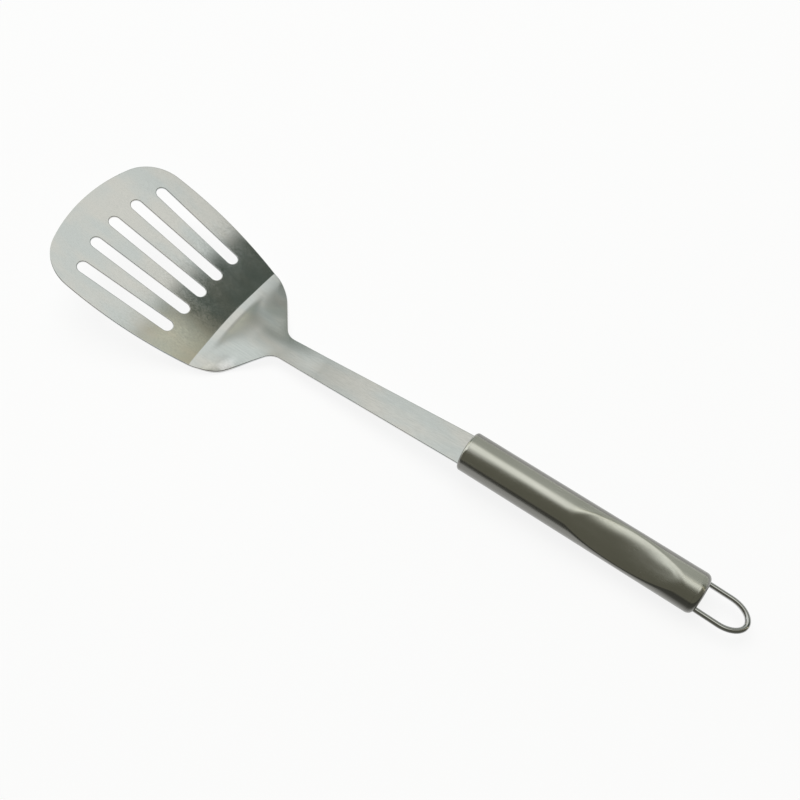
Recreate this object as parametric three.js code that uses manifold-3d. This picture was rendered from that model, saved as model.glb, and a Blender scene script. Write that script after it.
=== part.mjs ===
// A slotted kitchen turner in stainless steel: a press-formed sheet head fixed in a hollow round handle,
// with a wire loop to hang it by. Sizes are in millimetres.
// The pieces are made with the handle's axis on X, its front end at X = 0 and the blade towards -X.
// The whole turner is then laid down on the plane Z = 0, the way it lies on a table.

import * as THREE from 'three';
import { mergeVertices } from 'three/addons/utils/BufferGeometryUtils.js';
import Module from 'manifold-3d';

const wasm = await Module();
wasm.setup();

// Clearance between pieces that seat in each other
const seatGap = 0.3;

// Sheet head, measured from the handle's front end
const sheetThickness = 1.2;
const shankLength = 99;
const shankWidth = 15.2;
const neckWidth = 12;
const neckRadius = 9;
const shankStartHeight = 0.5;
const shankDip = THREE.MathUtils.degToRad(6.2);
const tangWidth = 10;
const tangLength = 14;

// Shoulder between the neck and the crease at the blade's heel
const lobeRadius = 25;
const lobeBehindCrease = 0.5;
const flankAngle = THREE.MathUtils.degToRad(49.5);
const creaseRise = 0.33;
const creaseBow = 1.6;
const riseAngle = THREE.MathUtils.degToRad(14);
const vaultRadius = 52;
const heelBendRadius = 9.5;

// Blade
const bladeLength = 91.5;
const bladeWidth = 78.2;
const bladePitch = THREE.MathUtils.degToRad(18.9);
const tipRadius = 80;
const cornerRadius = 20;
const sideRadius = 230;
const widestBehindTip = 28.5;

// Slots in the blade
const slotCount = 5;
const slotWidth = 5.5;
const slotSideMargin = 12.9;
const slotFan = THREE.MathUtils.degToRad(2.4);
const slotBehindTip = 14.8;
const slotAheadOfCrease = 17.3;

// Handle tube and its pressed thumb panel
const handleLength = 110.2;
const handleRadius = 9;
const tubeWall = 0.5;
const panelStart = 48;
const panelFromRear = 8.2;
const panelDepth = 3.4;
const panelWidth = 16;
const panelSideDrop = 1.4;
const panelTurn = THREE.MathUtils.degToRad(27);
const panelEdgeBlend = 0.8;

// Pressed end caps
const capWall = 0.4;
const frontCapCorner = 1.2;
const rearCapCorner = 2.8;
const capSpigotLength = 6;

// Hanging loop
const wireRadius = 1.2;
const loopReach = 19.6;
const loopStraight = 9.9;
const loopDrop = 0.6;
const loopSag = THREE.MathUtils.degToRad(3);
const clinchLength = 2.4;

// Fineness of the faceted surfaces
const turnedSegments = 56;
const shoulderRows = 20;
const heelRows = 8;
const sheetColumns = 28;
const panelRows = 24;
const curveSegments = 6;
const wireSides = 12;
const loopSteps = 64;

// Places that follow from the sizes above
const bladeReach = bladeLength * Math.cos(bladePitch);
const sideOutline = tangentSide();
const shoulderLength = sideOutline.length;
const neckX = -shankLength;
const creaseX = neckX - shoulderLength;
const tipX = creaseX - bladeReach;
const outerSlot = (slotCount - 1) / 2;
const slotPitch = (bladeWidth / 2 - slotSideMargin - slotWidth / 2) / outerSlot;
const shankEndX = -seatGap;
const tangEndX = shankEndX + tangLength;
const panelEnd = handleLength - panelFromRear;
const spigotRadius = handleRadius - tubeWall - seatGap;
const spigotBore = spigotRadius - capWall;
const legY = spigotBore - seatGap - wireRadius;

function angleOf(vector) {
  return Math.atan2(vector.y, vector.x);
}

// Points along a path, without the repeats where one of its curves meets the next
function pathPoints(path, segments) {
  const nearest = 1e-3;
  const points = path.getPoints(segments);
  return points.filter((point, index) => {
    const next = points[(index + 1) % points.length];
    return point.distanceTo(next) > nearest;
  });
}

// Solids and cuts

// A closed solid from a geometry; faces that shrink to a line where a lathe meets its axis are left out
function solidFrom(geometry) {
  const bare = geometry.clone();
  bare.deleteAttribute('normal');
  bare.deleteAttribute('uv');
  const merged = mergeVertices(bare, 1e-4);
  const corners = merged.index.array;
  const faces = [];
  for (let index = 0; index < corners.length; index += 3) {
    const face = corners.slice(index, index + 3);
    if (new Set(face).size === 3) faces.push(...face);
  }
  const vertProperties = new Float32Array(merged.attributes.position.array);
  const triVerts = new Uint32Array(faces);
  return new wasm.Manifold(new wasm.Mesh({ numProp: 3, vertProperties, triVerts }));
}

function geometryFrom(solid) {
  const mesh = solid.getMesh();
  const geometry = new THREE.BufferGeometry();
  geometry.setAttribute('position', new THREE.BufferAttribute(mesh.vertProperties, 3));
  geometry.setIndex(new THREE.BufferAttribute(mesh.triVerts, 1));
  geometry.computeVertexNormals();
  return geometry;
}

// A solid of revolution about X from points of (radius, X)
function turned(profile) {
  return new THREE.LatheGeometry(profile, turnedSegments).rotateZ(-Math.PI / 2);
}

// Plan outline of the head

// One side of the outline, with X from the crease: arcs from the tip to the neck, each tangent to the next,
// and the length that they leave for the shoulder between the crease and the neck
function tangentSide() {
  const tipCentre = new THREE.Vector2(tipRadius - bladeReach, 0);
  const sideCentre = new THREE.Vector2(widestBehindTip - bladeReach, bladeWidth / 2 - sideRadius);

  // The corner arc lies inside both the tip arc and the side arc
  const tipReach = tipRadius - cornerRadius;
  const sideReach = sideRadius - cornerRadius;
  const between = tipCentre.clone().sub(sideCentre);
  const distance = between.length();
  const along = (sideReach ** 2 - tipReach ** 2 + distance ** 2) / (2 * distance);
  const across = Math.sqrt(sideReach ** 2 - along ** 2);
  const unit = between.divideScalar(distance);
  const cornerCentre = new THREE.Vector2(
    sideCentre.x + unit.x * along - unit.y * across,
    sideCentre.y + unit.y * along + unit.x * across
  );
  const tipAngle = angleOf(cornerCentre.clone().sub(tipCentre));
  const cornerAngle = angleOf(cornerCentre.clone().sub(sideCentre));

  // The lobe arc leaves the side arc just behind the crease
  const lobeAngle = Math.acos((lobeBehindCrease - sideCentre.x) / sideRadius);
  const lobeOffset = new THREE.Vector2(Math.cos(lobeAngle), Math.sin(lobeAngle));
  const lobeCentre = sideCentre.clone().addScaledVector(lobeOffset, sideRadius - lobeRadius);

  // A straight flank leads from the lobe to the neck fillet, which touches the tapering edge of the shank
  const taper = Math.atan((shankWidth - neckWidth) / 2 / shankLength);
  const facing = Math.PI / 2 - flankAngle;
  const flankOffset = lobeCentre.x * Math.cos(facing) + lobeCentre.y * Math.sin(facing) + lobeRadius;
  const neckCentreY = neckWidth / 2 + neckRadius * Math.cos(taper);
  const neckCentreX = (flankOffset + neckRadius - neckCentreY * Math.sin(facing)) / Math.cos(facing);
  const neckCentre = new THREE.Vector2(neckCentreX, neckCentreY);

  const arcs = [
    { centre: tipCentre, radius: tipRadius, from: Math.PI, to: tipAngle },
    { centre: cornerCentre, radius: cornerRadius, from: tipAngle, to: cornerAngle },
    { centre: sideCentre, radius: sideRadius, from: cornerAngle, to: lobeAngle },
    { centre: lobeCentre, radius: lobeRadius, from: lobeAngle, to: facing },
    { centre: neckCentre, radius: neckRadius, from: facing - Math.PI, to: taper - Math.PI / 2 },
  ];
  return { arcs, length: neckCentreX + neckRadius * Math.sin(taper) };
}

// A round-ended slot; step counts from the centre slot, and each step fans out by one slotFan
function slotPath(step) {
  const radius = slotWidth / 2;
  const slope = Math.tan(step * slotFan);
  const rearX = creaseX - slotAheadOfCrease;
  const rearY = step * slotPitch;
  const reachY = rearY + (rearX - tipX - slotBehindTip) * slope;
  const frontX = tipX + tipRadius - Math.sqrt(tipRadius ** 2 - reachY ** 2) + slotBehindTip;
  const startX = rearX - radius;
  const endX = frontX + radius;
  const endY = rearY + (startX - endX) * slope;
  const turn = Math.atan(slope);
  const path = new THREE.Path();
  path.absarc(startX, rearY, radius, -Math.PI / 2 - turn, Math.PI / 2 - turn, false);
  path.absarc(endX, endY, radius, Math.PI / 2 - turn, 1.5 * Math.PI - turn, false);
  return new THREE.Path(pathPoints(path, curveSegments));
}

function headPlan() {
  const { arcs } = sideOutline;
  const outline = new THREE.Path();
  outline.moveTo(tangEndX, -tangWidth / 2);
  outline.lineTo(shankEndX, -tangWidth / 2);
  outline.lineTo(shankEndX, -shankWidth / 2);
  for (const arc of arcs.toReversed()) {
    const centreX = creaseX + arc.centre.x;
    outline.absarc(centreX, -arc.centre.y, arc.radius, -arc.to, -arc.from, -arc.from < -arc.to);
  }
  for (const arc of arcs) {
    const centreX = creaseX + arc.centre.x;
    outline.absarc(centreX, arc.centre.y, arc.radius, arc.from, arc.to, arc.to < arc.from);
  }
  outline.lineTo(shankEndX, shankWidth / 2);
  outline.lineTo(shankEndX, tangWidth / 2);
  outline.lineTo(tangEndX, tangWidth / 2);
  const shape = new THREE.Shape(pathPoints(outline, curveSegments));
  for (let index = 0; index < slotCount; index++) {
    shape.holes.push(slotPath(index - outerSlot));
  }
  return shape;
}

// Formed surface of the head

function shankHeight(x) {
  return shankStartHeight + x * Math.tan(shankDip);
}

function bladeHeight(x) {
  return shankHeight(creaseX) + creaseRise - (x - creaseX) * Math.tan(bladePitch);
}

// The crease bows towards the blade's tip in the middle
function creaseAt(y) {
  return creaseX + creaseBow * (2 * y / bladeWidth) ** 2;
}

// Share of the way from the neck, 0, to the crease, 1
function shoulderShare(x, y) {
  return Math.max(0, (x - neckX) / (creaseAt(y) - neckX));
}

function vaultShape(share) {
  return share ** 1.5 * (1 - share) ** 2;
}
const vaultPeak = vaultShape(3 / 7);

// The shoulder rises from the crease, falls back to the shank, and arches across like a vault
function shoulderHeight(x, y) {
  const share = shoulderShare(x, y);
  const start = creaseAt(y);
  const rise = bladeHeight(start) - shankHeight(start);
  const pull = rise + (Math.tan(riseAngle) - Math.tan(shankDip)) * (start - neckX) / -3;
  const crown = 3 * share ** 2 * (1 - share) * pull + share ** 3 * rise;
  const vault = vaultShape(share) / vaultPeak * y ** 2 / (2 * vaultRadius);
  return shankHeight(x) + crown - vault;
}

// Upper face of the sheet: blade and shoulder joined by a bend of heelBendRadius
function sheetHeight(x, y) {
  const blade = bladeHeight(x);
  const shoulder = shoulderHeight(x, y);
  const foldSlope = Math.tan(bladePitch) + Math.tan(riseAngle);
  const blend = heelBendRadius * foldSlope ** 2 / 2;
  const overlap = Math.max(0, blend - Math.abs(blade - shoulder));
  return Math.max(blade, shoulder) + overlap ** 2 / (4 * blend);
}

// Shares at which the blank is creased: fine across the heel bend, even over the shoulder
function blankShares() {
  const foldSlope = Math.tan(bladePitch) + Math.tan(riseAngle);
  const bendShare = heelBendRadius * foldSlope / 2 / shoulderLength;
  const margin = sheetThickness * 4;
  const shares = [(tipX - margin * 2 - neckX) / (creaseAt(bladeWidth / 2) - neckX)];
  for (let row = 0; row < heelRows; row++) {
    shares.push(1 + bendShare * (1 - 2 * row / heelRows));
  }
  for (let row = 0; row <= shoulderRows; row++) {
    shares.push((1 - bendShare) * (1 - row / shoulderRows));
  }
  shares.push((tangEndX + margin - neckX) / (creaseX - neckX));
  return shares;
}

// The blank after pressing, before its outline and slots are punched
function formedBlank() {
  const shares = blankShares();
  const rows = shares.length - 1;
  const blank = new THREE.BoxGeometry(1, 1, 1, rows, sheetColumns, 1);
  const position = blank.attributes.position;
  const width = bladeWidth + 4 * sheetThickness;
  const probe = 0.01;
  const normal = new THREE.Vector3();
  const point = new THREE.Vector3();
  for (let index = 0; index < position.count; index++) {
    const share = shares[Math.round((position.getX(index) + 0.5) * rows)];
    const isTop = position.getZ(index) > 0;
    const y = position.getY(index) * width;
    const x = neckX + share * (creaseAt(y) - neckX);
    const slopeX = (sheetHeight(x + probe, y) - sheetHeight(x - probe, y)) / (2 * probe);
    const slopeY = (sheetHeight(x, y + probe) - sheetHeight(x, y - probe)) / (2 * probe);
    normal.set(-slopeX, -slopeY, 1).normalize();
    point.set(x, y, sheetHeight(x, y));
    if (!isTop) point.addScaledVector(normal, -sheetThickness);
    position.setXYZ(index, point.x, point.y, point.z);
  }
  return blank;
}

function turnerHead() {
  const punchHeight = bladeLength;
  const punch = new THREE.ExtrudeGeometry(headPlan(), {
    depth: punchHeight,
    bevelEnabled: false,
    curveSegments,
  });
  punch.translate(0, 0, -punchHeight / 2);
  return geometryFrom(solidFrom(formedBlank()).intersect(solidFrom(punch)));
}

// Handle

// How far the thumb panel is pressed in at a place along the handle: 1 in its middle, 0 at its ends
function panelPress(x) {
  const fromMiddle = (2 * x - panelStart - panelEnd) / (panelEnd - panelStart);
  return 1 - fromMiddle ** 2;
}

// Pushes the tube's wall down to the panel, which falls away at its sides and meets the tube with a soft edge
function pressPanel(geometry) {
  const facing = new THREE.Vector3(0, -Math.sin(panelTurn), Math.cos(panelTurn));
  const sideways = new THREE.Vector3(0, Math.cos(panelTurn), Math.sin(panelTurn));
  const position = geometry.attributes.position;
  const point = new THREE.Vector3();
  for (let index = 0; index < position.count; index++) {
    point.fromBufferAttribute(position, index);
    const outer = new THREE.Vector3(0, point.y, point.z).setLength(handleRadius);
    const height = outer.dot(facing);
    const sunk = (panelDepth + panelEdgeBlend) * panelPress(point.x);
    const sideDrop = panelSideDrop * Math.abs(2 * outer.dot(sideways) / panelWidth) ** 3;
    const panel = handleRadius + panelEdgeBlend - sunk - sideDrop;
    const overlap = Math.max(0, panelEdgeBlend - Math.abs(height - panel));
    const pressed = Math.min(height, panel) - overlap ** 2 / (4 * panelEdgeBlend);
    point.addScaledVector(facing, pressed - height);
    position.setXYZ(index, point.x, point.y, point.z);
  }
  return geometry;
}

function handleTube() {
  const innerRadius = handleRadius - tubeWall;
  const stations = [frontCapCorner + capWall + seatGap];
  for (let row = 0; row <= panelRows; row++) {
    stations.push(THREE.MathUtils.lerp(panelStart, panelEnd, row / panelRows));
  }
  stations.push(handleLength - rearCapCorner - capWall - seatGap);
  const profile = [
    ...stations.map((x) => new THREE.Vector2(handleRadius, x)),
    ...stations.toReversed().map((x) => new THREE.Vector2(innerRadius, x)),
  ];
  profile.push(profile[0].clone());
  return pressPanel(turned(profile));
}

// A drawn cap that closes the +X end of the tube at endX, with a spigot inside the tube
function drawnCap(endX, corner) {
  const cornerX = endX - corner;
  const seatX = cornerX - capWall;
  const spigotEndX = seatX - capSpigotLength;
  const profile = new THREE.Path();
  profile.moveTo(0, endX - capWall);
  profile.lineTo(handleRadius - corner, endX - capWall);
  profile.absarc(handleRadius - corner, cornerX, corner - capWall, Math.PI / 2, 0, true);
  profile.lineTo(spigotBore, cornerX);
  profile.lineTo(spigotBore, spigotEndX);
  profile.lineTo(spigotRadius, spigotEndX);
  profile.lineTo(spigotRadius, seatX);
  profile.lineTo(handleRadius, seatX);
  profile.absarc(handleRadius - corner, cornerX, corner, 0, Math.PI / 2, false);
  profile.lineTo(0, endX);
  return turned(pathPoints(profile, curveSegments / 2));
}

function frontCap() {
  const cap = drawnCap(0, frontCapCorner).rotateZ(Math.PI);
  const slot = new THREE.BoxGeometry(
    4 * capWall,
    tangWidth + 2 * seatGap,
    sheetThickness + 2 * seatGap
  );
  slot.rotateY(-shankDip);
  slot.translate(capWall / 2, 0, shankHeight(capWall / 2) - sheetThickness / 2);
  return geometryFrom(solidFrom(cap).subtract(solidFrom(slot)));
}

function rearCap() {
  let cap = solidFrom(drawnCap(handleLength, rearCapCorner));
  const holeLength = rearCapCorner + 2 * capWall;
  for (const side of [-1, 1]) {
    const hole = new THREE.CylinderGeometry(
      wireRadius + seatGap, wireRadius + seatGap, holeLength, 2 * wireSides);
    hole.rotateZ(Math.PI / 2);
    hole.translate(capWall, side * legY, 0);
    hole.applyMatrix4(loopPlacement());
    cap = cap.subtract(solidFrom(hole));
  }
  return geometryFrom(cap);
}

// Hanging loop

// The loop is drawn flat about the cap's outer face, then lowered and tipped
function loopPlacement() {
  return new THREE.Matrix4()
    .makeRotationY(loopSag)
    .setPosition(handleLength, 0, -loopDrop);
}

function quarterTurn(path, from, corner, to) {
  const roundness = 0.5523;
  path.add(new THREE.CubicBezierCurve3(
    from,
    from.clone().lerp(corner, roundness),
    to.clone().lerp(corner, roundness),
    to
  ));
}

function hangingLoop() {
  const bend = wireRadius + seatGap;
  const clinchX = -capWall - bend;
  const path = new THREE.CurvePath();
  const at = (x, y) => new THREE.Vector3(x, y, 0);
  path.add(new THREE.LineCurve3(at(clinchX, bend - legY + clinchLength), at(clinchX, bend - legY)));
  quarterTurn(path, at(clinchX, bend - legY), at(clinchX, -legY), at(-capWall, -legY));
  path.add(new THREE.LineCurve3(at(-capWall, -legY), at(loopStraight, -legY)));
  quarterTurn(path, at(loopStraight, -legY), at(loopReach, -legY), at(loopReach, 0));
  quarterTurn(path, at(loopReach, 0), at(loopReach, legY), at(loopStraight, legY));
  path.add(new THREE.LineCurve3(at(loopStraight, legY), at(-capWall, legY)));
  quarterTurn(path, at(-capWall, legY), at(clinchX, legY), at(clinchX, legY - bend));
  path.add(new THREE.LineCurve3(at(clinchX, legY - bend), at(clinchX, legY - bend - clinchLength)));
  const circle = new THREE.Path();
  circle.absarc(0, 0, wireRadius, 0, 2 * Math.PI, false);
  const section = new THREE.Shape(pathPoints(circle, wireSides / 2));
  const wire = new THREE.ExtrudeGeometry(section, {
    steps: loopSteps,
    bevelEnabled: false,
    extrudePath: path,
  });
  return wire.applyMatrix4(loopPlacement());
}

// Assembly

function steel(colour, roughness) {
  return new THREE.MeshStandardMaterial({ color: colour, roughness, metalness: 1 });
}

function piece(name, geometry, material) {
  const mesh = new THREE.Mesh(geometry, material);
  mesh.name = name;
  return mesh;
}

const polishedColour = 0xc9cac6;
const brushedColour = 0x8d8c82;

const head = piece('turner_head', turnerHead(), steel(polishedColour, 0.2));
const tube = piece('handle_tube', handleTube(), steel(brushedColour, 0.38));
const front = piece('front_cap', frontCap(), steel(brushedColour, 0.38));
const rear = piece('rear_cap', rearCap(), steel(brushedColour, 0.38));
const loop = piece('hanging_loop', hangingLoop(), steel(polishedColour, 0.15));

const turner = new THREE.Group();
turner.name = 'slotted_turner';
turner.add(head, tube, front, rear, loop);

// Lowest point of a mesh when the turner is tipped about Y
function lowestPoint(mesh, tip) {
  const turn = new THREE.Matrix4().makeRotationY(tip);
  const position = mesh.geometry.attributes.position;
  const lowest = new THREE.Vector3(0, 0, Infinity);
  const point = new THREE.Vector3();
  for (let index = 0; index < position.count; index++) {
    point.fromBufferAttribute(position, index).applyMatrix4(turn);
    if (point.z < lowest.z) lowest.copy(point);
  }
  return lowest;
}

// Tip the turner until the shoulder's lobes and the back of the handle are level, then stand it on Z = 0
function layDown(group) {
  const levellingRounds = 6;
  for (let round = 0; round < levellingRounds; round++) {
    const headFoot = lowestPoint(head, group.rotation.y);
    const handleFoot = lowestPoint(rear, group.rotation.y);
    group.rotation.y += Math.atan((handleFoot.z - headFoot.z) / (handleFoot.x - headFoot.x));
  }
  const box = new THREE.Box3().setFromObject(group, true);
  const centre = box.getCenter(new THREE.Vector3());
  group.position.set(-centre.x, -centre.y, -box.min.z);
}

layDown(turner);

export default turner;
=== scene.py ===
# Looks of a slotted steel turner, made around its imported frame: smooth, round-edged meshes of the same
# pieces, polished and brushed steel, a white table in a soft studio, and the camera.
# The pieces are modelled with the handle's axis on X, its front end at X = 0 and the blade towards -X.
# They are then placed together, by where the handle lies in the frame. Lengths are in metres.

import math

import bpy
import numpy as np
from mathutils import Matrix, Vector
from mathutils.geometry import delaunay_2d_cdt


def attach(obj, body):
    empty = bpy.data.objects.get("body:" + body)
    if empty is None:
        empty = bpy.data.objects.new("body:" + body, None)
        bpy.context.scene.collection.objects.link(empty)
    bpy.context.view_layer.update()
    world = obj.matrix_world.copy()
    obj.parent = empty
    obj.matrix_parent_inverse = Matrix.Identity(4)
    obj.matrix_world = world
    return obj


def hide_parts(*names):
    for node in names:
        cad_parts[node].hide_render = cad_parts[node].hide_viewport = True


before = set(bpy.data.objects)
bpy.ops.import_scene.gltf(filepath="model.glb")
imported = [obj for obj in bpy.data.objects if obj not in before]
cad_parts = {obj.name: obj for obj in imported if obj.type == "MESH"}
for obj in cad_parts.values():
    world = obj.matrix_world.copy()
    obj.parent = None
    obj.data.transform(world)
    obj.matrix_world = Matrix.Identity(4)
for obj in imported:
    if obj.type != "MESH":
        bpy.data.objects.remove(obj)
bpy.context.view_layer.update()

MM = 0.001

# Clearances: pieces that touch in the real turner keep a hairline, and the frame's solids a wider gap
HAIRLINE = 0.03 * MM
FRAME_GAP = 0.3 * MM

# Sheet head, measured from the handle's front end
SHEET = 1.2 * MM
EDGE_RADIUS = 0.36 * MM
SHANK_LENGTH = 99 * MM
SHANK_WIDTH = 15.2 * MM
NECK_WIDTH = 12 * MM
NECK_RADIUS = 9 * MM
SHANK_START_HEIGHT = 0.5 * MM
SHANK_DIP = math.radians(6.2)
TANG_WIDTH = 10 * MM
TANG_LENGTH = 14 * MM

# Shoulder between the neck and the crease at the blade's heel
LOBE_RADIUS = 25 * MM
LOBE_BEHIND_CREASE = 0.5 * MM
FLANK_ANGLE = math.radians(49.5)
CREASE_RISE = 0.33 * MM
CREASE_BOW = 1.6 * MM
RISE_ANGLE = math.radians(14)
VAULT_RADIUS = 52 * MM
VAULT_RISE_POWER = 1.5
VAULT_FALL_POWER = 2
HEEL_BEND_RADIUS = 9.5 * MM

# Faint ridge along the neck: highest a little ahead of it, fading out to the front, the rear and both sides
NECK_RIDGE_HEIGHT = 0.55 * MM
NECK_RIDGE_AHEAD = 1.5 * MM
NECK_RIDGE_FRONT = 17 * MM
NECK_RIDGE_REAR = 22 * MM
NECK_RIDGE_SPREAD = 6.5 * MM

# Blade
BLADE_LENGTH = 91.5 * MM
BLADE_WIDTH = 78.2 * MM
BLADE_PITCH = math.radians(18.9)
TIP_RADIUS = 80 * MM
CORNER_RADIUS = 20 * MM
SIDE_RADIUS = 230 * MM
WIDEST_BEHIND_TIP = 28.5 * MM

# Slots in the blade
SLOT_COUNT = 5
SLOT_WIDTH = 5.5 * MM
SLOT_SIDE_MARGIN = 12.9 * MM
SLOT_FAN = math.radians(2.4)
SLOT_BEHIND_TIP = 14.8 * MM
SLOT_AHEAD_OF_CREASE = 17.3 * MM

# Handle tube and its pressed thumb panel
HANDLE_LENGTH = 110.2 * MM
HANDLE_RADIUS = 9 * MM
TUBE_WALL = 0.5 * MM
PANEL_START = 48 * MM
PANEL_FROM_REAR = 8.2 * MM
PANEL_DEPTH = 3.4 * MM
PANEL_WIDTH = 16 * MM
PANEL_SIDE_DROP = 1.4 * MM
PANEL_TURN = math.radians(27)
PANEL_EDGE_BLEND = 0.8 * MM

# Pressed end caps
CAP_WALL = 0.4 * MM
FRONT_CAP_CORNER = 1.2 * MM
REAR_CAP_CORNER = 2.8 * MM
CAP_SPIGOT_LENGTH = 6 * MM

# Hanging loop
WIRE_RADIUS = 1.2 * MM
LOOP_REACH = 19.6 * MM
LOOP_STRAIGHT = 9.9 * MM
LOOP_DROP = 0.6 * MM
LOOP_SAG = math.radians(3)
CLINCH_LENGTH = 2.4 * MM

# Fineness of the meshes
EDGE_STEP = 0.45 * MM
EDGE_ROWS = 4
HEEL_ROWS = 14
SHOULDER_ROWS = 64
SHEET_GRID = 1.4 * MM
BLADE_GRID = 6 * MM
BLADE_COLUMN_STEP = 4
TUBE_STEP = 0.6 * MM
TURNED_SIDES = 168
ROUND_STEPS = 10
WIRE_SIDES = 32
WIRE_STEPS = 40
SHARP_ANGLE = math.radians(38)

# Camera, in the handle's own axes; the image is square
CAMERA_PLACE = Vector((76.186, -158.265, 361.151)) * MM
CAMERA_AZIMUTH = math.radians(35.105)
CAMERA_ELEVATION = math.radians(61.299)
CAMERA_ROLL = math.radians(0.021)
CAMERA_LENS_MM = 42.317
SENSOR_MM = 36

# Places that follow from the sizes above
BLADE_REACH = BLADE_LENGTH * math.cos(BLADE_PITCH)
PANEL_END = HANDLE_LENGTH - PANEL_FROM_REAR
TUBE_START = FRONT_CAP_CORNER + CAP_WALL + HAIRLINE
TUBE_END = HANDLE_LENGTH - REAR_CAP_CORNER - CAP_WALL - HAIRLINE
SPIGOT_RADIUS = HANDLE_RADIUS - TUBE_WALL - FRAME_GAP
SPIGOT_BORE = SPIGOT_RADIUS - CAP_WALL
LEG_Y = SPIGOT_BORE - FRAME_GAP - WIRE_RADIUS


# Where the handle lies in the frame


def handle_placement():
    merge_digits = 7
    end_reach = 2 * MM
    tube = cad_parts["handle_tube"].data
    points = np.unique(np.round([vertex.co for vertex in tube.vertices], merge_digits), axis=0)
    front = points[points[:, 0] < points[:, 0].min() + end_reach].mean(0)
    rear = points[points[:, 0] > points[:, 0].max() - end_reach].mean(0)
    axis = Vector(rear - front).normalized()
    tip = math.atan2(-axis.z, axis.x)
    start = Vector(front) - axis * (FRONT_CAP_CORNER + CAP_WALL + FRAME_GAP)
    return Matrix.Translation(start) @ Matrix.Rotation(tip, 4, "Y")


PLACEMENT = handle_placement()


# Meshes and pieces


def piece_from(name, points, faces, normals=None):
    mesh = bpy.data.meshes.new(name)
    mesh.from_pydata(np.asarray(points).tolist(), [], faces)
    mesh.shade_smooth()
    if normals is None:
        mesh.set_sharp_from_angle(angle=SHARP_ANGLE)
    else:
        mesh.normals_split_custom_set_from_vertices(np.asarray(normals).tolist())
    piece = bpy.data.objects.new(name, mesh)
    bpy.context.scene.collection.objects.link(piece)
    return piece


def band_faces(first, second):
    """Faces between two closed rows of vertices: seen from outside, the second row lies below the first
    and both run to the right"""
    count = len(first)
    return [(first[i], second[i], second[(i + 1) % count], first[(i + 1) % count]) for i in range(count)]


def turned(profile, closed):
    """Points and faces of a solid turned about X, from (radius, X) places with the outer side listed
    towards +X. A profile that isn't closed starts and ends on the axis"""
    angles = np.linspace(0, 2 * math.pi, TURNED_SIDES, endpoint=False)
    points = []
    rows = []
    for radius, x in profile:
        row_angles = angles if radius > 0 else angles[:1]
        rows.append(list(range(len(points), len(points) + len(row_angles))))
        points += [(x, radius * math.cos(angle), radius * math.sin(angle)) for angle in row_angles]
    faces = []
    for first, second in zip(rows, rows[1:] + rows[:1] if closed else rows[1:]):
        if len(first) == 1:
            faces += [(first[0], second[i], second[i - 1]) for i in range(TURNED_SIDES)]
        elif len(second) == 1:
            faces += [(second[0], first[i - 1], first[i]) for i in range(TURNED_SIDES)]
        else:
            faces += band_faces(second, first)
    return points, faces


def cut(piece, cutters):
    """Cuts solids out of a piece and drops them"""
    for cutter in cutters:
        modifier = piece.modifiers.new("cut", "BOOLEAN")
        modifier.operation = "DIFFERENCE"
        modifier.solver = "EXACT"
        modifier.object = cutter
    graph = bpy.context.evaluated_depsgraph_get()
    result = bpy.data.meshes.new_from_object(piece.evaluated_get(graph))
    piece.modifiers.clear()
    piece.data = result
    result.shade_smooth()
    result.set_sharp_from_angle(angle=SHARP_ANGLE)
    for cutter in cutters:
        bpy.data.objects.remove(cutter)


# Plan outline of the head


def tangent_side():
    """One side of the outline, with X from the crease: arcs from the tip to the neck, each tangent to the
    next, as (centre, radius, from, to), and the length that they leave for the shoulder"""
    tip_centre = np.array([TIP_RADIUS - BLADE_REACH, 0])
    side_centre = np.array([WIDEST_BEHIND_TIP - BLADE_REACH, BLADE_WIDTH / 2 - SIDE_RADIUS])

    # The corner arc lies inside both the tip arc and the side arc
    tip_reach = TIP_RADIUS - CORNER_RADIUS
    side_reach = SIDE_RADIUS - CORNER_RADIUS
    between = tip_centre - side_centre
    distance = np.hypot(*between)
    along = (side_reach ** 2 - tip_reach ** 2 + distance ** 2) / (2 * distance)
    across = math.sqrt(side_reach ** 2 - along ** 2)
    unit = between / distance
    corner_centre = side_centre + unit * along + np.array([-unit[1], unit[0]]) * across
    tip_angle = angle_of(corner_centre - tip_centre)
    corner_angle = angle_of(corner_centre - side_centre)

    # The lobe arc leaves the side arc just behind the crease
    lobe_angle = math.acos((LOBE_BEHIND_CREASE - side_centre[0]) / SIDE_RADIUS)
    lobe_offset = np.array([math.cos(lobe_angle), math.sin(lobe_angle)])
    lobe_centre = side_centre + lobe_offset * (SIDE_RADIUS - LOBE_RADIUS)

    # A straight flank leads from the lobe to the neck fillet, which touches the tapering edge of the shank
    taper = math.atan((SHANK_WIDTH - NECK_WIDTH) / 2 / SHANK_LENGTH)
    facing = math.pi / 2 - FLANK_ANGLE
    flank_offset = lobe_centre @ (math.cos(facing), math.sin(facing)) + LOBE_RADIUS
    neck_y = NECK_WIDTH / 2 + NECK_RADIUS * math.cos(taper)
    neck_x = (flank_offset + NECK_RADIUS - neck_y * math.sin(facing)) / math.cos(facing)

    arcs = [
        (tip_centre, TIP_RADIUS, math.pi, tip_angle),
        (corner_centre, CORNER_RADIUS, tip_angle, corner_angle),
        (side_centre, SIDE_RADIUS, corner_angle, lobe_angle),
        (lobe_centre, LOBE_RADIUS, lobe_angle, facing),
        (np.array([neck_x, neck_y]), NECK_RADIUS, facing - math.pi, taper - math.pi / 2),
    ]
    return arcs, neck_x + NECK_RADIUS * math.sin(taper)


def angle_of(vector):
    return math.atan2(vector[1], vector[0])


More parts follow.
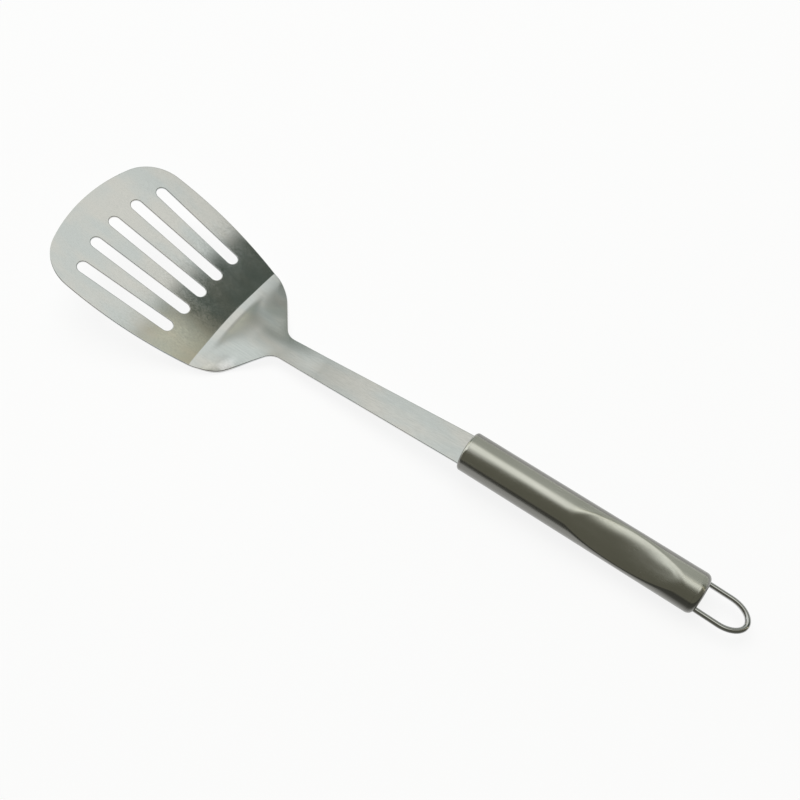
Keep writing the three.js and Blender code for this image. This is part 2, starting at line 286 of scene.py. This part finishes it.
SIDE_ARCS, SHOULDER_LENGTH = tangent_side()
NECK_X = -SHANK_LENGTH
CREASE_X = NECK_X - SHOULDER_LENGTH
TIP_X = CREASE_X - BLADE_REACH
OUTER_SLOT = (SLOT_COUNT - 1) / 2
SLOT_PITCH = (BLADE_WIDTH / 2 - SLOT_SIDE_MARGIN - SLOT_WIDTH / 2) / OUTER_SLOT


def arc_points(centre, radius, start, end):
    count = math.ceil(abs(end - start) * radius / EDGE_STEP) + 1
    angles = np.linspace(start, end, count)
    return centre + radius * np.column_stack([np.cos(angles), np.sin(angles)])


def even_loop(points, turn):
    """A closed outline at even steps, anticlockwise for a turn of 1 and clockwise for -1"""
    closed = np.vstack([points, points[:1]])
    area = np.sum(closed[:-1, 0] * closed[1:, 1] - closed[1:, 0] * closed[:-1, 1])
    if area * turn < 0:
        closed = closed[::-1]
    along = np.concatenate([[0], np.cumsum(np.hypot(*np.diff(closed, axis=0).T))])
    places = np.linspace(0, along[-1], round(along[-1] / EDGE_STEP), endpoint=False)
    return np.column_stack([np.interp(places, along, closed[:, axis]) for axis in (0, 1)])


def head_outline():
    side = np.vstack([arc_points(*arc) for arc in SIDE_ARCS]) + (CREASE_X, 0)
    tang_end = TANG_LENGTH - FRAME_GAP
    end = [(-HAIRLINE, SHANK_WIDTH / 2), (-HAIRLINE, TANG_WIDTH / 2), (tang_end, TANG_WIDTH / 2)]
    half = np.vstack([side, end])
    return even_loop(np.vstack([half, half[::-1] * (1, -1)]), 1)


def slot_outline(step):
    """A round-ended slot; step counts from the centre slot, and each step fans out by one SLOT_FAN"""
    radius = SLOT_WIDTH / 2
    slope = math.tan(step * SLOT_FAN)
    rear_x = CREASE_X - SLOT_AHEAD_OF_CREASE
    rear_y = step * SLOT_PITCH
    reach_y = rear_y + (rear_x - TIP_X - SLOT_BEHIND_TIP) * slope
    front_x = TIP_X + TIP_RADIUS - math.sqrt(TIP_RADIUS ** 2 - reach_y ** 2) + SLOT_BEHIND_TIP
    start_x = rear_x - radius
    end_x = front_x + radius
    end_y = rear_y + (start_x - end_x) * slope
    turn = math.atan(slope)
    rear = arc_points((start_x, rear_y), radius, -math.pi / 2 - turn, math.pi / 2 - turn)
    front = arc_points((end_x, end_y), radius, math.pi / 2 - turn, 1.5 * math.pi - turn)
    return even_loop(np.vstack([rear, front]), -1)


# Formed surface of the head


def shank_height(x):
    return SHANK_START_HEIGHT + x * math.tan(SHANK_DIP)


def blade_height(x):
    return shank_height(CREASE_X) + CREASE_RISE - (x - CREASE_X) * math.tan(BLADE_PITCH)


def crease_at(y):
    """The crease bows towards the blade's tip in the middle"""
    return CREASE_X + CREASE_BOW * (2 * y / BLADE_WIDTH) ** 2


def vault_shape(share):
    return share ** VAULT_RISE_POWER * (1 - share) ** VAULT_FALL_POWER


VAULT_PEAK = vault_shape(VAULT_RISE_POWER / (VAULT_RISE_POWER + VAULT_FALL_POWER))


def neck_ridge(x, y):
    """How far the ridge along the neck stands up from the sheet"""
    from_peak = x - NECK_X + NECK_RIDGE_AHEAD
    reach = np.where(from_peak < 0, NECK_RIDGE_FRONT, NECK_RIDGE_REAR)
    fade = np.maximum(0, 1 - (from_peak / reach) ** 2) ** 2
    return NECK_RIDGE_HEIGHT * fade * np.exp(-(y / NECK_RIDGE_SPREAD) ** 2)


def shoulder_height(x, y):
    """The shoulder rises from the crease, falls back to the shank, and arches across like a vault"""
    start = crease_at(y)
    share = np.maximum(0, (x - NECK_X) / (start - NECK_X))
    rise = blade_height(start) - shank_height(start)
    pull = rise - (math.tan(RISE_ANGLE) - math.tan(SHANK_DIP)) * (start - NECK_X) / 3
    crown = 3 * share ** 2 * (1 - share) * pull + share ** 3 * rise
    vault = vault_shape(share) / VAULT_PEAK * y ** 2 / (2 * VAULT_RADIUS)
    return shank_height(x) + crown - vault + neck_ridge(x, y)


FOLD_SLOPE = math.tan(BLADE_PITCH) + math.tan(RISE_ANGLE)


def sheet_height(x, y):
    """Upper face of the sheet: blade and shoulder joined by a bend of HEEL_BEND_RADIUS"""
    blade = blade_height(x)
    shoulder = shoulder_height(x, y)
    blend = HEEL_BEND_RADIUS * FOLD_SLOPE ** 2 / 2
    overlap = np.maximum(0, blend - np.abs(blade - shoulder))
    return np.maximum(blade, shoulder) + overlap ** 2 / (4 * blend)


def sheet_points(plan):
    """Points and normals of the sheet's upper face over points of its plan"""
    x, y = plan.T
    probe = 0.01 * MM
    slope_x = (sheet_height(x + probe, y) - sheet_height(x - probe, y)) / (2 * probe)
    slope_y = (sheet_height(x, y + probe) - sheet_height(x, y - probe)) / (2 * probe)
    normals = np.column_stack([-slope_x, -slope_y, np.ones_like(x)])
    normals /= np.linalg.norm(normals, axis=1)[:, None]
    return np.column_stack([x, y, sheet_height(x, y)]), normals


def outward(loop):
    """Directions in the plan that point away from the sheet along its edge"""
    ahead = np.roll(loop, -1, 0) - np.roll(loop, 1, 0)
    facing = np.column_stack([ahead[:, 1], -ahead[:, 0]])
    return facing / np.hypot(*facing.T)[:, None]


def edge_row(loop, upright, angle, lower):
    """One row of the sheet's rounded edge: the angle is 0 on the upper face, a quarter turn on the wall
    and a half turn on the lower face. Lower rows lie past the wall, which stands upright or square to
    the sheet"""
    facing = outward(loop)
    tops, normals = sheet_points(loop - EDGE_RADIUS * (1 - math.sin(angle)) * facing)
    depth = EDGE_RADIUS * (1 - math.cos(angle))
    if lower:
        depth += SHEET - 2 * EDGE_RADIUS
    wall = np.column_stack([facing, np.zeros(len(facing))])
    if upright:
        places = tops - depth * np.array([0, 0, 1]) / normals[:, 2:]
    else:
        places = tops - depth * normals
        wall -= np.sum(wall * normals, axis=1)[:, None] * normals
    turned_normals = math.cos(angle) * normals + math.sin(angle) * wall
    return places, turned_normals / np.linalg.norm(turned_normals, axis=1)[:, None]


def inside(points, loops):
    """Which points lie inside an odd number of outlines"""
    odd = np.zeros(len(points), bool)
    for loop in loops:
        for (x0, y0), (x1, y1) in zip(loop, np.roll(loop, -1, 0)):
            if y0 == y1:
                continue
            crosses = (points[:, 1] < y0) != (points[:, 1] < y1)
            odd ^= crosses & (points[:, 0] < x0 + (points[:, 1] - y0) * (x1 - x0) / (y1 - y0))
    return odd


def grid_points(loops):
    """Points of the plan between its edges: close together on the bend, the shoulder and the neck, and far
    apart on the blade"""
    bend = HEEL_BEND_RADIUS * FOLD_SLOPE / SHOULDER_LENGTH
    shares = np.concatenate([
        np.linspace(1 + bend, 1 - bend, HEEL_ROWS, endpoint=False),
        np.linspace(1 - bend, -NECK_RIDGE_REAR / SHOULDER_LENGTH, SHOULDER_ROWS),
    ])
    columns = np.arange(-BLADE_WIDTH / 2, BLADE_WIDTH / 2, SHEET_GRID)
    share, y = (grid.ravel() for grid in np.meshgrid(shares, columns))
    shoulder = np.column_stack([NECK_X + share * (crease_at(y) - NECK_X), y])
    rows = np.arange(TIP_X, CREASE_X - BLADE_GRID, BLADE_GRID)
    blade_columns = columns[::BLADE_COLUMN_STEP]
    blade = np.column_stack([grid.ravel() for grid in np.meshgrid(rows, blade_columns)])
    points = np.vstack([shoulder, blade])
    points = points[inside(points, loops)]
    edges = np.vstack(loops)
    clear = [np.min(np.sum((edges - point) ** 2, axis=1)) > EDGE_STEP ** 2 for point in points]
    return points[clear]


def filled(loops, inner):
    """Triangles over the plan between the outlines, by the order of the loops' and inner points"""
    edges = []
    start = 0
    for loop in loops:
        count = len(loop)
        edges += [(start + i, start + (i + 1) % count) for i in range(count)]
        start += count
    points = [Vector(point) for point in np.vstack([*loops, inner]) / MM]
    inside_edges = 1
    merge_distance = 1e-5
    corners, _, faces, sources, _, _ = delaunay_2d_cdt(points, edges, [], inside_edges, merge_distance)
    first_source = [found[0] for found in sources]
    centres = np.array([np.mean([corners[i] for i in face], axis=0) for face in faces]) * MM
    kept = [face for face, keep in zip(faces, inside(centres, loops)) if keep]
    return [tuple(first_source[i] for i in face) for face in kept]


def turner_head():
    steps = np.arange(SLOT_COUNT) - OUTER_SLOT
    loops = [head_outline()] + [slot_outline(step) for step in steps]
    quarter = np.linspace(0, math.pi / 2, EDGE_ROWS + 1)
    turns = [(angle, False) for angle in quarter] + [(math.pi / 2 + angle, True) for angle in quarter]
    upright = [True] + [False] * SLOT_COUNT
    rows = [[edge_row(*pair, *turn) for pair in zip(loops, upright)] for turn in turns]
    points = [np.vstack([place for place, _ in row]) for row in rows]
    normals = [np.vstack([normal for _, normal in row]) for row in rows]
    edge_count = len(points[0])

    faces = []
    for row in range(len(rows) - 1):
        start = row * edge_count
        for loop in loops:
            upper = list(range(start, start + len(loop)))
            faces += band_faces(upper, [index + edge_count for index in upper])
            start += len(loop)

    # The upper and lower faces share one filling of the plan inside the rounded edges
    plan = [loop - EDGE_RADIUS * outward(loop) for loop in loops]
    inner = grid_points(plan)
    tops, top_normals = sheet_points(inner)
    points += [tops, tops - SHEET * top_normals]
    normals += [top_normals, -top_normals]
    last_row = (len(rows) - 1) * edge_count
    for face in filled(plan, inner):
        upper = [i if i < edge_count else last_row + i for i in face]
        lower = [last_row + i if i < edge_count else last_row + len(inner) + i for i in face]
        faces += [tuple(upper), tuple(reversed(lower))]
    return piece_from("sheet_head", np.vstack(points), faces, np.vstack(normals))


# Handle


def pressed(points):
    """Pushes the tube's wall down to the thumb panel, which is deepest in its middle and falls away at
    its sides"""
    points = np.array(points)
    facing = np.array([0, -math.sin(PANEL_TURN), math.cos(PANEL_TURN)])
    sideways = np.array([0, math.cos(PANEL_TURN), math.sin(PANEL_TURN)])
    from_middle = (2 * points[:, 0] - PANEL_START - PANEL_END) / (PANEL_END - PANEL_START)
    outer = points * HANDLE_RADIUS / np.hypot(points[:, 1], points[:, 2])[:, None]
    height = outer @ facing
    sunk = (PANEL_DEPTH + PANEL_EDGE_BLEND) * (1 - from_middle ** 2)
    side_drop = PANEL_SIDE_DROP * np.abs(2 * outer @ sideways / PANEL_WIDTH) ** 3
    panel = HANDLE_RADIUS + PANEL_EDGE_BLEND - sunk - side_drop
    overlap = np.maximum(0, PANEL_EDGE_BLEND - np.abs(height - panel))
    lowered = np.minimum(height, panel) - overlap ** 2 / (4 * PANEL_EDGE_BLEND)
    return points + (lowered - height)[:, None] * facing


def handle_tube():
    stations = np.linspace(TUBE_START, TUBE_END, round((TUBE_END - TUBE_START) / TUBE_STEP))
    outer = [(HANDLE_RADIUS, x) for x in stations]
    inner = [(HANDLE_RADIUS - TUBE_WALL, x) for x in stations[::-1]]
    points, faces = turned(outer + inner, closed=True)
    return piece_from("tube", pressed(points), faces)


def drawn_cap(end_x, corner):
    """Profile of a drawn cap that closes the +X end of the tube at end_x, with a spigot inside the tube"""
    corner_x = end_x - corner
    seat_x = corner_x - CAP_WALL
    spigot_end = seat_x - CAP_SPIGOT_LENGTH
    quarter = np.linspace(0, math.pi / 2, ROUND_STEPS + 1)
    centre = HANDLE_RADIUS - corner
    inner = corner - CAP_WALL
    return [
        (0, end_x - CAP_WALL),
        *[(centre + inner * math.sin(a), corner_x + inner * math.cos(a)) for a in quarter],
        (SPIGOT_BORE, corner_x),
        (SPIGOT_BORE, spigot_end),
        (SPIGOT_RADIUS, spigot_end),
        (SPIGOT_RADIUS, seat_x),
        (HANDLE_RADIUS, seat_x),
        *[(centre + corner * math.cos(a), corner_x + corner * math.sin(a)) for a in quarter],
        (0, end_x),
    ]


def front_cap():
    profile = [(radius, -x) for radius, x in reversed(drawn_cap(0, FRONT_CAP_CORNER))]
    cap = piece_from("cap_front", *turned(profile, closed=False))
    bpy.ops.mesh.primitive_cube_add(size=1)
    slot = bpy.context.object
    slot_depth = 6 * CAP_WALL
    slot.scale = (slot_depth, TANG_WIDTH + 2 * HAIRLINE, SHEET + 2 * HAIRLINE)
    slot.rotation_euler = (0, -SHANK_DIP, 0)
    slot.location = (CAP_WALL / 2, 0, shank_height(CAP_WALL / 2) - SHEET / 2)
    cut(cap, [slot])
    return cap


def rear_cap():
    profile = drawn_cap(HANDLE_LENGTH, REAR_CAP_CORNER)
    cap = piece_from("cap_rear", *turned(profile, closed=False))
    holes = []
    for side in (-1, 1):
        bpy.ops.mesh.primitive_cylinder_add(
            vertices=2 * WIRE_SIDES, radius=WIRE_RADIUS + HAIRLINE, depth=REAR_CAP_CORNER + 2 * CAP_WALL)
        hole = bpy.context.object
        turn = Matrix.Rotation(math.pi / 2, 4, "Y")
        hole.matrix_world = LOOP_PLACEMENT @ Matrix.Translation((CAP_WALL, side * LEG_Y, 0)) @ turn
        holes.append(hole)
    cut(cap, holes)
    return cap


# Hanging loop

LOOP_PLACEMENT = Matrix.Translation((HANDLE_LENGTH, 0, -LOOP_DROP)) @ Matrix.Rotation(LOOP_SAG, 4, "Y")


def quarter_turn(start, corner, end):
    """A round bend from start to end that leaves both along the lines to the corner"""
    roundness = 0.5523
    start, corner, end = (np.array(point) for point in (start, corner, end))
    lead_in = start + (corner - start) * roundness
    lead_out = end + (corner - end) * roundness
    t = np.linspace(0, 1, WIRE_STEPS, endpoint=False)[:, None]
    ends = (1 - t) ** 3 * start + t ** 3 * end
    return ends + 3 * t * (1 - t) ** 2 * lead_in + 3 * t ** 2 * (1 - t) * lead_out


def straight(start, end, count):
    t = np.linspace(0, 1, count, endpoint=False)[:, None]
    return np.array(start) * (1 - t) + np.array(end) * t


def half_loop():
    """Half of the wire's path in its own plane, from the clinched end to the middle of the bend"""
    bend = WIRE_RADIUS + FRAME_GAP
    clinch_x = -CAP_WALL - bend
    straight_steps = WIRE_STEPS // 4
    return np.vstack([
        straight((clinch_x, LEG_Y - bend - CLINCH_LENGTH), (clinch_x, LEG_Y - bend), straight_steps),
        quarter_turn((clinch_x, LEG_Y - bend), (clinch_x, LEG_Y), (-CAP_WALL, LEG_Y)),
        straight((-CAP_WALL, LEG_Y), (LOOP_STRAIGHT, LEG_Y), straight_steps),
        quarter_turn((LOOP_STRAIGHT, LEG_Y), (LOOP_REACH, LEG_Y), (LOOP_REACH, 0)),
    ])


def hanging_loop():
    half = half_loop()
    path = np.vstack([half, [(LOOP_REACH, 0)], half[::-1] * (1, -1)])
    ahead = np.gradient(path, axis=0)
    ahead /= np.hypot(*ahead.T)[:, None]
    sideways = np.column_stack([-ahead[:, 1], ahead[:, 0]])
    angles = np.linspace(0, 2 * math.pi, WIRE_SIDES, endpoint=False)
    points = []
    for place, side in zip(path, sideways):
        for angle in angles:
            offset = side * WIRE_RADIUS * math.cos(angle)
            points.append((*(place + offset), WIRE_RADIUS * math.sin(angle)))
    rows = [list(range(start, start + WIRE_SIDES)) for start in range(0, len(points), WIRE_SIDES)]
    faces = []
    for first, second in zip(rows, rows[1:]):
        faces += band_faces(second, first)
    faces += [tuple(reversed(rows[0])), tuple(rows[-1])]
    wire = piece_from("wire_loop", points, faces)
    wire.data.transform(LOOP_PLACEMENT)
    return wire


# Materials

WHITE = (1, 1, 1)

# Painted shade on the handle: it keeps its full colour on the side that faces this way, a little towards
# its thumb panel, and is painted darker towards its other sides between two angles from there, given by
# their cosines
PAINTED_LIGHT_TURN = math.radians(11)
PAINTED_LIGHT_SIDE = Vector((0, -math.sin(PAINTED_LIGHT_TURN), math.cos(PAINTED_LIGHT_TURN)))
PAINTED_SHADE_EDGE = (0.766, 0.682)

# The softer gloss of the head fades in at the crease, and most of it fades out along the shank
SATIN_START = (CREASE_X - 2 * MM, CREASE_X + 3 * MM)
SATIN_END = (NECK_X, 0.8 * NECK_X)
SATIN_LOST = 0.7

# Drift of colour and patches of gloss: how fine they are, how drawn out, and which noise values they span
DRIFT_SCALE = 90
DRIFT_STRETCH = (0.35, 1, 1)
DRIFT_RANGE = (0.35, 0.65)
PATCH_SCALE = 160
PATCH_STRETCH = (0.5, 1, 1)
GLOSS_RANGE = (0.3, 0.7)

# Grain: lines drawn out along the handle, darker and rougher than the steel between them
GRAIN_STRETCH = (0.02, 1, 1)
GRAIN_SHADE = 0.6
GRAIN_SHADE_SHARE = 0.16
GRAIN_SHADE_RANGE = (0.3, 0.75)
GRAIN_ROUGHNESS = 0.05

# The table is white paper. In reflections it fades to a dark floor past a slanting line in front of the
# handle, where the slope times X, less Y, runs through the two lengths of the fade
PAPER = (0.95, 0.95, 0.95)
PAPER_GLOW = 0.86
PAPER_EDGE_SLOPE = 0.387
PAPER_EDGE_FADE = (0.065, 0.089)
DARK_FLOOR = (0.08, 0.08, 0.068)


class Nodes:
    """Short calls for the nodes of one material or world"""

    def __init__(self, tree):
        self.tree = tree
        tree.nodes.clear()

    def add(self, kind, inputs=None, **settings):
        node = self.tree.nodes.new(kind)
        for key, value in settings.items():
            setattr(node, key, value)
        for name, value in (inputs or {}).items():
            if isinstance(value, bpy.types.NodeSocket):
                self.tree.links.new(value, node.inputs[name])
            else:
                node.inputs[name].default_value = value
        return node

    def math(self, operation, first, second):
        return self.add("ShaderNodeMath", {0: first, 1: second}, operation=operation).outputs[0]

    def smooth(self, value, start, end, low=0.0, high=1.0):
        """A soft step from low at start to high at end"""
        if start > end:
            start, end, low, high = end, start, high, low
        ends = {"From Min": start, "From Max": end, "To Min": low, "To Max": high, "Value": value}
        return self.add("ShaderNodeMapRange", ends, interpolation_type="SMOOTHSTEP").outputs["Result"]

    def mix(self, share, first, second):
        node = self.add("ShaderNodeMix", {"Factor": share}, data_type="RGBA")
        first_colour, second_colour = node.inputs[6:8]
        mixed_colour = node.outputs[2]
        for socket, value in ((first_colour, first), (second_colour, second)):
            if isinstance(value, bpy.types.NodeSocket):
                self.tree.links.new(value, socket)
            else:
                socket.default_value = (*value, 1)
        return mixed_colour

    def noise(self, place, stretch, scale, detail=2.0):
        """Noise over the piece, with more or less of it along each axis"""
        stretched = self.add("ShaderNodeMapping", {"Vector": place, "Scale": stretch}).outputs[0]
        settings = {"Vector": stretched, "Scale": scale, "Detail": detail}
        return self.add("ShaderNodeTexNoise", settings).outputs["Fac"]


def steel(name, colour, tint, roughness, roughness_spread, grain, grain_depth, painted_side_shade=0.0, satin=0.0):
    """Steel with grain along the handle, a faint drift of colour and patches of softer gloss.
    grain is how many lines lie across one metre, and tint the colour that it drifts to.
    painted_side_shade is the share of its colour taken away as painted shade on the sides that turn away
    from the handle's bright side, and satin how much rougher the steel is behind the blade's crease"""
    material = bpy.data.materials.new(name)
    material.use_nodes = True
    nodes = Nodes(material.node_tree)
    coordinates = nodes.add("ShaderNodeTexCoord").outputs
    to_handle = PLACEMENT.inverted()
    placing = {
        "Vector": coordinates["Object"],
        "Location": to_handle.translation,
        "Rotation": to_handle.to_euler(),
    }
    place = nodes.add("ShaderNodeMapping", placing).outputs[0]
    drift = nodes.noise(place, DRIFT_STRETCH, DRIFT_SCALE)
    patches = nodes.noise(place, PATCH_STRETCH, PATCH_SCALE, detail=4)
    lines = nodes.noise(place, GRAIN_STRETCH, grain, detail=5)

    base = nodes.mix(nodes.smooth(drift, *DRIFT_RANGE), colour, tint)
    shade = [GRAIN_SHADE * part for part in tint]
    grain_and_painted_shade = nodes.mix(nodes.smooth(lines, *GRAIN_SHADE_RANGE, 0, GRAIN_SHADE_SHARE), base, shade)
    # Painted shade: the colour, with its grain, is darkened towards the sides that turn away from the
    # handle's bright side, by the share given as an argument
    sides = {0: coordinates["Normal"], 1: PAINTED_LIGHT_SIDE}
    facing = nodes.add("ShaderNodeVectorMath", sides, operation="DOT_PRODUCT").outputs["Value"]
    kept = nodes.smooth(facing, *PAINTED_SHADE_EDGE, 1, 1 - painted_side_shade)
    grain_and_painted_shade = nodes.add("ShaderNodeVectorMath", {0: grain_and_painted_shade, "Scale": kept}, operation="SCALE").outputs[0]

    low = roughness - roughness_spread
    high = roughness + roughness_spread
    along = nodes.add("ShaderNodeSeparateXYZ", {"Vector": place}).outputs["X"]
    rough = nodes.smooth(patches, *GLOSS_RANGE, low, high)
    rough = nodes.math("ADD", rough, nodes.smooth(lines, *GLOSS_RANGE, 0, GRAIN_ROUGHNESS))
    rough = nodes.math("ADD", rough, nodes.smooth(along, *SATIN_START, 0, satin))
    rough = nodes.math("SUBTRACT", rough, nodes.smooth(along, *SATIN_END, 0, SATIN_LOST * satin))
    relief = {"Height": lines, "Strength": 1.0, "Distance": grain_depth}
    bump = nodes.add("ShaderNodeBump", relief).outputs[0]
    shader = nodes.add("ShaderNodeBsdfPrincipled", {
        "Base Color": grain_and_painted_shade,
        "Roughness": rough,
        "Normal": bump,
        "Metallic": 1.0,
    })
    nodes.add("ShaderNodeOutputMaterial", {"Surface": shader.outputs[0]})
    return material


def table_top():
    """White to the camera, with part of its light left to the lamps, so that it keeps shadows. Reflections
    see the dark floor past the paper's edge"""
    material = bpy.data.materials.new("table")
    material.use_nodes = True
    nodes = Nodes(material.node_tree)
    path = nodes.add("ShaderNodeLightPath").outputs
    seen = nodes.math("MAXIMUM", path["Is Camera Ray"], path["Is Glossy Ray"])
    seen = nodes.math("MAXIMUM", seen, path["Is Transmission Ray"])
    coordinates = nodes.add("ShaderNodeTexCoord").outputs["Object"]
    place = nodes.add("ShaderNodeSeparateXYZ", {"Vector": coordinates}).outputs
    past_edge = nodes.math("SUBTRACT", nodes.math("MULTIPLY", place["X"], PAPER_EDGE_SLOPE), place["Y"])
    dark = nodes.math("MULTIPLY", path["Is Glossy Ray"], nodes.smooth(past_edge, *PAPER_EDGE_FADE))
    paper = nodes.mix(dark, WHITE, DARK_FLOOR)
    glow = nodes.add("ShaderNodeEmission", {"Color": paper, "Strength": 1.0}).outputs[0]
    diffuse = nodes.add("ShaderNodeBsdfDiffuse", {"Color": (*PAPER, 1)}).outputs[0]
    share = nodes.math("MULTIPLY", seen, PAPER_GLOW)
    mixed = nodes.add("ShaderNodeMixShader", {0: share, 1: diffuse, 2: glow}).outputs[0]
    nodes.add("ShaderNodeOutputMaterial", {"Surface": mixed})
    return material


# Studio

# Each panel of the studio has a colour and soft edges: along an axis of the direction that it is seen in,
# it fades in from the first value to the second. Later panels lie over earlier ones.
DIM_ROOM = (0.115, 0.114, 0.09)
PANELS = [
    ("wall behind", (0.40, 0.44, 0.40), [("y", 0.42, 0.64)]),
    ("wall behind the handle", (0.37, 0.385, 0.35), [("y", 0.45, 0.62), ("x", -0.29, -0.19)]),
    ("low wall behind", (0.37, 0.385, 0.35), [("y", 0.45, 0.65), ("z", 0.5, 0.3)]),
    ("wall behind the handle's end", (0.47, 0.49, 0.45), [
        ("y", 0.45, 0.62), ("x", -0.03, 0.03), ("x", 0.1, 0.06)]),
    ("wall at the blade's end", (0.73, 0.75, 0.63), [("x", -0.5, -0.75), ("y", -0.45, -0.25)]),
    ("overhead light", (0.92, 0.937, 0.885), [
        ("y", -0.36, 0.11), ("y", 0.62, 0.36), ("x", 0.135, 0.108), ("x", -0.69, -0.42)]),
    ("light beyond the handle's end", (1.08, 1.1, 1.02), [
        ("x", 0.11, 0.13), ("x", 0.46, 0.3), ("y", -0.43, 0.06), ("y", 0.266, 0.215)]),
    ("dark doorway", (0.1, 0.117, 0.096), [("x", 0.102, 0.13), ("y", 0.29, 0.317), ("y", 0.576, 0.434)]),
    ("warm reflector", (0.73, 0.715, 0.57), [("x", 0.11, 0.14), ("y", 0.2, 0.25), ("y", 0.327, 0.304)]),
    ("reflector's shaded end", (0.58, 0.55, 0.41), [
        ("x", 0.15, 0.18), ("y", 0.2, 0.25), ("y", 0.327, 0.304)]),
    ("low light in front", (0.88, 0.92, 0.86), [
        ("x", -0.4, -0.48), ("y", 0.127, 0.012), ("y", -0.43, -0.3)]),
    ("near light", (0.92, 0.95, 0.9), [("x", -0.15, -0.25), ("y", -0.43, -0.3), ("y", 0.2, 0.05)]),
    ("dark patch behind", (0.163, 0.199, 0.163), [("x", -0.465, -0.585), ("y", 0.36, 0.475)]),
    ("light patch", (0.62, 0.66, 0.62), [
        ("x", -0.39, -0.45), ("x", -0.6, -0.52), ("y", 0.49, 0.57), ("y", 0.758, 0.688)]),
]


def studio_world():
    """The panels, with a white backdrop for the camera"""
    world = bpy.data.worlds.new("studio")
    world.use_nodes = True
    bpy.context.scene.world = world
    nodes = Nodes(world.node_tree)
    direction = nodes.add("ShaderNodeTexCoord").outputs["Generated"]
    parts = nodes.add("ShaderNodeSeparateXYZ", {"Vector": direction}).outputs
    along = {"x": parts["X"], "y": parts["Y"], "z": parts["Z"]}
    colour = DIM_ROOM
    for _, panel, edges in PANELS:
        share = 1.0
        for axis, start, end in edges:
            share = nodes.math("MULTIPLY", nodes.smooth(along[axis], start, end), share)
        colour = nodes.mix(share, colour, panel)
    seen = nodes.add("ShaderNodeLightPath").outputs["Is Camera Ray"]
    colour = nodes.mix(seen, colour, WHITE)
    background = nodes.add("ShaderNodeBackground", {"Color": colour, "Strength": 1.0}).outputs[0]
    nodes.add("ShaderNodeOutputWorld", {"Surface": background})


def lamp(name, shape, width, depth, watts, place, aim):
    light = bpy.data.lights.new(name, "AREA")
    light.shape = shape
    light.size = width
    light.size_y = depth
    light.energy = watts
    holder = bpy.data.objects.new(name, light)
    holder.location = place
    holder.rotation_euler = (Vector(aim) - Vector(place)).to_track_quat("-Z", "Y").to_euler()
    holder.visible_camera = False
    bpy.context.scene.collection.objects.link(holder)
    return holder


def table():
    half_size = 60
    signs = [(-1, -1), (1, -1), (1, 1), (-1, 1)]
    corners = [(half_size * x, half_size * y, 0) for x, y in signs]
    top = piece_from("table", corners, [(0, 1, 2, 3)])
    top.data.materials.append(table_top())


def camera():
    level = math.cos(CAMERA_ELEVATION)
    across = math.cos(CAMERA_AZIMUTH)
    along = math.sin(CAMERA_AZIMUTH)
    back = Vector((along * level, -across * level, math.sin(CAMERA_ELEVATION)))
    right = Vector((across, along, 0))
    turn = Matrix((right, back.cross(right), back)).transposed().to_4x4()
    turn = turn @ Matrix.Rotation(CAMERA_ROLL, 4, "Z")
    data = bpy.data.cameras.new("camera")
    data.lens = CAMERA_LENS_MM
    data.sensor_width = SENSOR_MM
    data.clip_start = MM
    holder = bpy.data.objects.new("camera", data)
    holder.matrix_world = PLACEMENT @ Matrix.Translation(CAMERA_PLACE) @ turn
    bpy.context.scene.collection.objects.link(holder)
    bpy.context.scene.camera = holder


# The whole scene

camera()
studio_world()
wide_lamp = lamp("wide_lamp", "DISK", width=1.6, depth=1.6, watts=18, place=(-0.5, 0.5, 1.7), aim=(0, 0, 0))
wide_lamp.visible_glossy = False
shoulder_lamp = lamp(
    "shoulder_lamp", "RECTANGLE", width=0.14, depth=0.085, watts=0.0042,
    place=(-0.085, -0.104, 0.295), aim=(-0.085, -0.035, 0))
shoulder_lamp.data.spread = math.radians(60)
table()

polished = steel(
    "polished_sheet", colour=(0.658, 0.647, 0.63), tint=(0.6, 0.625, 0.63),
    roughness=0.055, roughness_spread=0.015, grain=2600, grain_depth=0.0004 * MM, satin=0.14)
# The brushed steel is painted darker, as painted shade, on the sides that turn away from its bright side
brushed = steel(
    "brushed_tube", colour=(0.73, 0.72, 0.67), tint=(0.68, 0.675, 0.62),
    roughness=0.2, roughness_spread=0.03, grain=5200, grain_depth=0.003 * MM, painted_side_shade=0.66)
bright = steel(
    "bright_wire", colour=(0.62, 0.62, 0.615), tint=(0.57, 0.575, 0.575),
    roughness=0.1, roughness_spread=0.03, grain=3000, grain_depth=0.001 * MM)

pieces = [
    (turner_head(), "turner_head", "polished_sheet", polished),
    (handle_tube(), "handle_tube", "brushed_tube", brushed),
    (front_cap(), "front_cap", "brushed_tube", brushed),
    (rear_cap(), "rear_cap", "brushed_tube", brushed),
    (hanging_loop(), "hanging_loop", "bright_wire", bright),
]
for piece, node, slot, material in pieces:
    piece.data.materials.clear()
    piece.data.materials.append(material)
    piece.data.transform(PLACEMENT)
    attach(piece, "root")
    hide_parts(node)

bpy.context.scene.view_settings.view_transform = "Standard"
